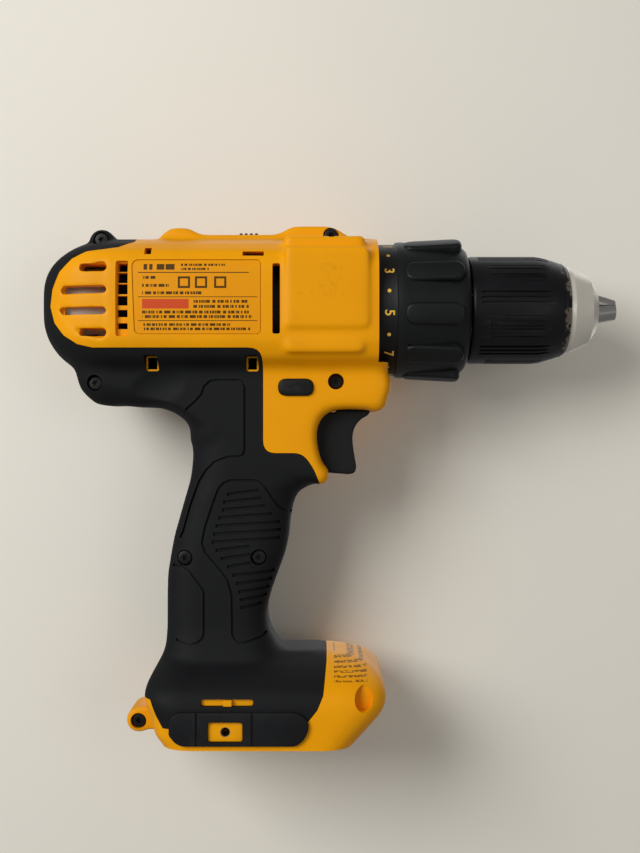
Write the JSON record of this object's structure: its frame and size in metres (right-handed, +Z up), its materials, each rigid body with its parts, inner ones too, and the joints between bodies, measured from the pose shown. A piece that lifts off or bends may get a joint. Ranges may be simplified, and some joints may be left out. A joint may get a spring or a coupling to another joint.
{
  "type": "cordless drill driver",
  "caption": "Compact pistol-grip cordless drill driver, bare tool, with keyless chuck, clutch collar, trigger, direction button and speed selector.",
  "frame": {"origin": "middle of the overall box, on the base", "axes": "+X forward along the spindle towards the chuck, +Z up, +Y to the left of the drill"},
  "size_m": [0.2261, 0.074, 0.1985],
  "materials": {
    "yellow_shell": "moulded glass-filled nylon, fine satin grain",
    "grip_rubber": "overmoulded soft rubber, matt fine grain",
    "screw_steel": "black zinc plated screws",
    "label_film": "printed polyester film",
    "case_nylon": "moulded glass-filled nylon",
    "gear_steel": "sintered steel, oiled",
    "can_steel": "zinc-plated drawn steel",
    "magnet": "sintered ferrite and carbon, matt",
    "white_plastic": "glass-filled nylon",
    "black_plastic": "moulded nylon, fine spark grain",
    "bush_bronze": "turned or stamped copper alloy",
    "lens_clear": "clear moulded lens",
    "wire_red": "insulated copper wire",
    "spring_steel": "hard-drawn spring wire",
    "collar_black": "moulded nylon, fine spark grain, printed numbers",
    "nut_zinc": "die-cast zinc",
    "shaft_steel": "ground steel",
    "winding": "enamelled copper on steel laminations",
    "chuck_steel": "turned, satin, lightly worn",
    "sleeve_black": "moulded nylon, semi-gloss",
    "jaw_steel": "hardened steel, oiled"
  },
  "bodies": {
    "housing": {"housing_right": "yellow_shell", "housing_left": "yellow_shell", "grip_right": "grip_rubber", "grip_left": "grip_rubber", "bumper_right": "grip_rubber", "bumper_left": "grip_rubber", "housing_screws": "screw_steel", "side_labels": "label_film", "gear_case": "case_nylon", "clutch_ring_gear": "gear_steel", "motor_plate": "case_nylon", "motor_can": "can_steel", "motor_ring": "grip_rubber", "motor_magnets": "magnet", "brush_end_bell": "white_plastic", "carbon_brushes": "magnet", "rotor_bearings": "bush_bronze", "switch_module": "black_plastic", "terminal_block": "black_plastic", "terminal_blades": "bush_bronze", "led_lens": "lens_clear", "lead_wires": "wire_red", "hook_nuts": "bush_bronze", "clutch_pins": "gear_steel", "clutch_spring": "spring_steel", "spindle_bearings": "bush_bronze", "lock_ring": "gear_steel", "trigger_spring": "spring_steel"},
    "rotor": {"rotor_shaft": "shaft_steel", "armature": "winding", "commutator": "bush_bronze", "cooling_fan": "black_plastic"},
    "carrier_1": {"carrier_1": "gear_steel"},
    "carrier_2": {"carrier_2": "gear_steel"},
    "output": {"output_carrier": "gear_steel", "spindle": "shaft_steel", "chuck_body": "chuck_steel", "chuck_screw": "shaft_steel"},
    "planet_1a": {"planet_1a": "gear_steel"},
    "planet_1b": {"planet_1b": "gear_steel"},
    "planet_1c": {"planet_1c": "gear_steel"},
    "planet_2a": {"planet_2a": "gear_steel"},
    "planet_2b": {"planet_2b": "gear_steel"},
    "planet_2c": {"planet_2c": "gear_steel"},
    "planet_3a": {"planet_3a": "gear_steel"},
    "planet_3b": {"planet_3b": "gear_steel"},
    "planet_3c": {"planet_3c": "gear_steel"},
    "collar": {"clutch_collar": "collar_black"},
    "clutch_nut": {"clutch_nut": "nut_zinc"},
    "sleeve": {"chuck_sleeve": "sleeve_black", "chuck_nut": "gear_steel"},
    "jaw_a": {"jaw_a": "jaw_steel"},
    "jaw_b": {"jaw_b": "jaw_steel"},
    "jaw_c": {"jaw_c": "jaw_steel"},
    "trigger": {"trigger": "black_plastic"},
    "direction_button": {"direction_button": "black_plastic"},
    "direction_lever": {"direction_lever": "white_plastic"},
    "selector": {"speed_selector": "black_plastic", "shift_yoke": "spring_steel", "shift_ring_gear": "gear_steel"}
  },
  "joints": [
    {"name": "spindle_spin", "type": "hinge", "parent": "housing", "child": "output", "pos_m": [0, 0, 0.166], "axis": [1, 0, 0], "continuous": true},
    {"name": "carrier_2_spin", "type": "hinge", "parent": "housing", "child": "carrier_2", "pos_m": [0, 0, 0.166], "axis": [1, 0, 0], "continuous": true},
    {"name": "carrier_1_spin", "type": "hinge", "parent": "housing", "child": "carrier_1", "pos_m": [0, 0, 0.166], "axis": [1, 0, 0], "continuous": true},
    {"name": "rotor_spin", "type": "hinge", "parent": "housing", "child": "rotor", "pos_m": [0, 0, 0.166], "axis": [1, 0, 0], "continuous": true},
    {"name": "planet_1a_spin", "type": "hinge", "parent": "carrier_1", "child": "planet_1a", "pos_m": [0, 0, 0.15447], "axis": [1, 0, 0], "continuous": true},
    {"name": "planet_1b_spin", "type": "hinge", "parent": "carrier_1", "child": "planet_1b", "pos_m": [0, 0.00999, 0.17177], "axis": [1, 0, 0], "continuous": true},
    {"name": "planet_1c_spin", "type": "hinge", "parent": "carrier_1", "child": "planet_1c", "pos_m": [0, -0.00999, 0.17177], "axis": [1, 0, 0], "continuous": true},
    {"name": "planet_2a_spin", "type": "hinge", "parent": "carrier_2", "child": "planet_2a", "pos_m": [0, 0, 0.15405], "axis": [1, 0, 0], "continuous": true},
    {"name": "planet_2b_spin", "type": "hinge", "parent": "carrier_2", "child": "planet_2b", "pos_m": [0, 0.01035, 0.17197], "axis": [1, 0, 0], "continuous": true},
    {"name": "planet_2c_spin", "type": "hinge", "parent": "carrier_2", "child": "planet_2c", "pos_m": [0, -0.01035, 0.17197], "axis": [1, 0, 0], "continuous": true},
    {"name": "planet_3a_spin", "type": "hinge", "parent": "output", "child": "planet_3a", "pos_m": [0, 0, 0.15447], "axis": [1, 0, 0], "continuous": true},
    {"name": "planet_3b_spin", "type": "hinge", "parent": "output", "child": "planet_3b", "pos_m": [0, 0.00999, 0.17177], "axis": [1, 0, 0], "continuous": true},
    {"name": "planet_3c_spin", "type": "hinge", "parent": "output", "child": "planet_3c", "pos_m": [0, -0.00999, 0.17177], "axis": [1, 0, 0], "continuous": true},
    {"name": "clutch_turn", "type": "hinge", "parent": "housing", "child": "collar", "pos_m": [0, 0, 0.166], "axis": [1, 0, 0], "range_deg": [-277.5, 0]},
    {"name": "clutch_nut_slide", "type": "slide", "parent": "collar", "child": "clutch_nut", "axis": [1, 0, 0], "range_m": [-0.0062, 0], "deforming": ["clutch_spring"]},
    {"name": "sleeve_turn", "type": "hinge", "parent": "output", "child": "sleeve", "pos_m": [0, 0, 0.166], "axis": [1, 0, 0], "range_deg": [0, 3600]},
    {"name": "jaw_a_slide", "type": "slide", "parent": "output", "child": "jaw_a", "axis": [-0.9563, 0, 0.2924], "range_m": [0, 0.02223]},
    {"name": "jaw_b_slide", "type": "slide", "parent": "output", "child": "jaw_b", "axis": [-0.9563, -0.2532, -0.1462], "range_m": [0, 0.02223]},
    {"name": "jaw_c_slide", "type": "slide", "parent": "output", "child": "jaw_c", "axis": [-0.9563, 0.2532, -0.1462], "range_m": [0, 0.02223]},
    {"name": "trigger_press", "type": "slide", "parent": "housing", "child": "trigger", "axis": [-1, 0, 0], "range_m": [0, 0.0065], "stiffness_N_per_m": 300, "springref_m": -0.004, "deforming": ["trigger_spring"]},
    {"name": "direction_slide", "type": "slide", "parent": "housing", "child": "direction_button", "axis": [0, 1, 0], "range_m": [-0.003, 0.003]},
    {"name": "direction_lever_turn", "type": "hinge", "parent": "housing", "child": "direction_lever", "pos_m": [-0.03, 0, 0.128], "axis": [0, 0, 1], "range_deg": [-10.5, 10.5]},
    {"name": "speed_shift", "type": "slide", "parent": "housing", "child": "selector", "axis": [-1, 0, 0], "range_m": [0, 0.007]}
  ],
  "couplings": [
    {"joint": "carrier_2_spin", "follows": "spindle_spin", "ratio": 3.6},
    {"joint": "carrier_1_spin", "follows": "spindle_spin", "ratio": 12},
    {"joint": "rotor_spin", "follows": "spindle_spin", "ratio": 43.2},
    {"joint": "planet_1a_spin", "follows": "spindle_spin", "ratio": -39},
    {"joint": "planet_1b_spin", "follows": "spindle_spin", "ratio": -39},
    {"joint": "planet_1c_spin", "follows": "spindle_spin", "ratio": -39},
    {"joint": "planet_2a_spin", "follows": "spindle_spin", "ratio": -12.6},
    {"joint": "planet_2b_spin", "follows": "spindle_spin", "ratio": -12.6},
    {"joint": "planet_2c_spin", "follows": "spindle_spin", "ratio": -12.6},
    {"joint": "planet_3a_spin", "follows": "spindle_spin", "ratio": -3.25},
    {"joint": "planet_3b_spin", "follows": "spindle_spin", "ratio": -3.25},
    {"joint": "planet_3c_spin", "follows": "spindle_spin", "ratio": -3.25},
    {"joint": "clutch_nut_slide", "follows": "clutch_turn", "m_per_rad": 0.00128},
    {"joint": "jaw_a_slide", "follows": "sleeve_turn", "m_per_rad": 0.0003538},
    {"joint": "jaw_b_slide", "follows": "sleeve_turn", "m_per_rad": 0.0003538},
    {"joint": "jaw_c_slide", "follows": "sleeve_turn", "m_per_rad": 0.0003538},
    {"joint": "direction_lever_turn", "follows": "direction_slide", "rad_per_m": 60.606}
  ]
}
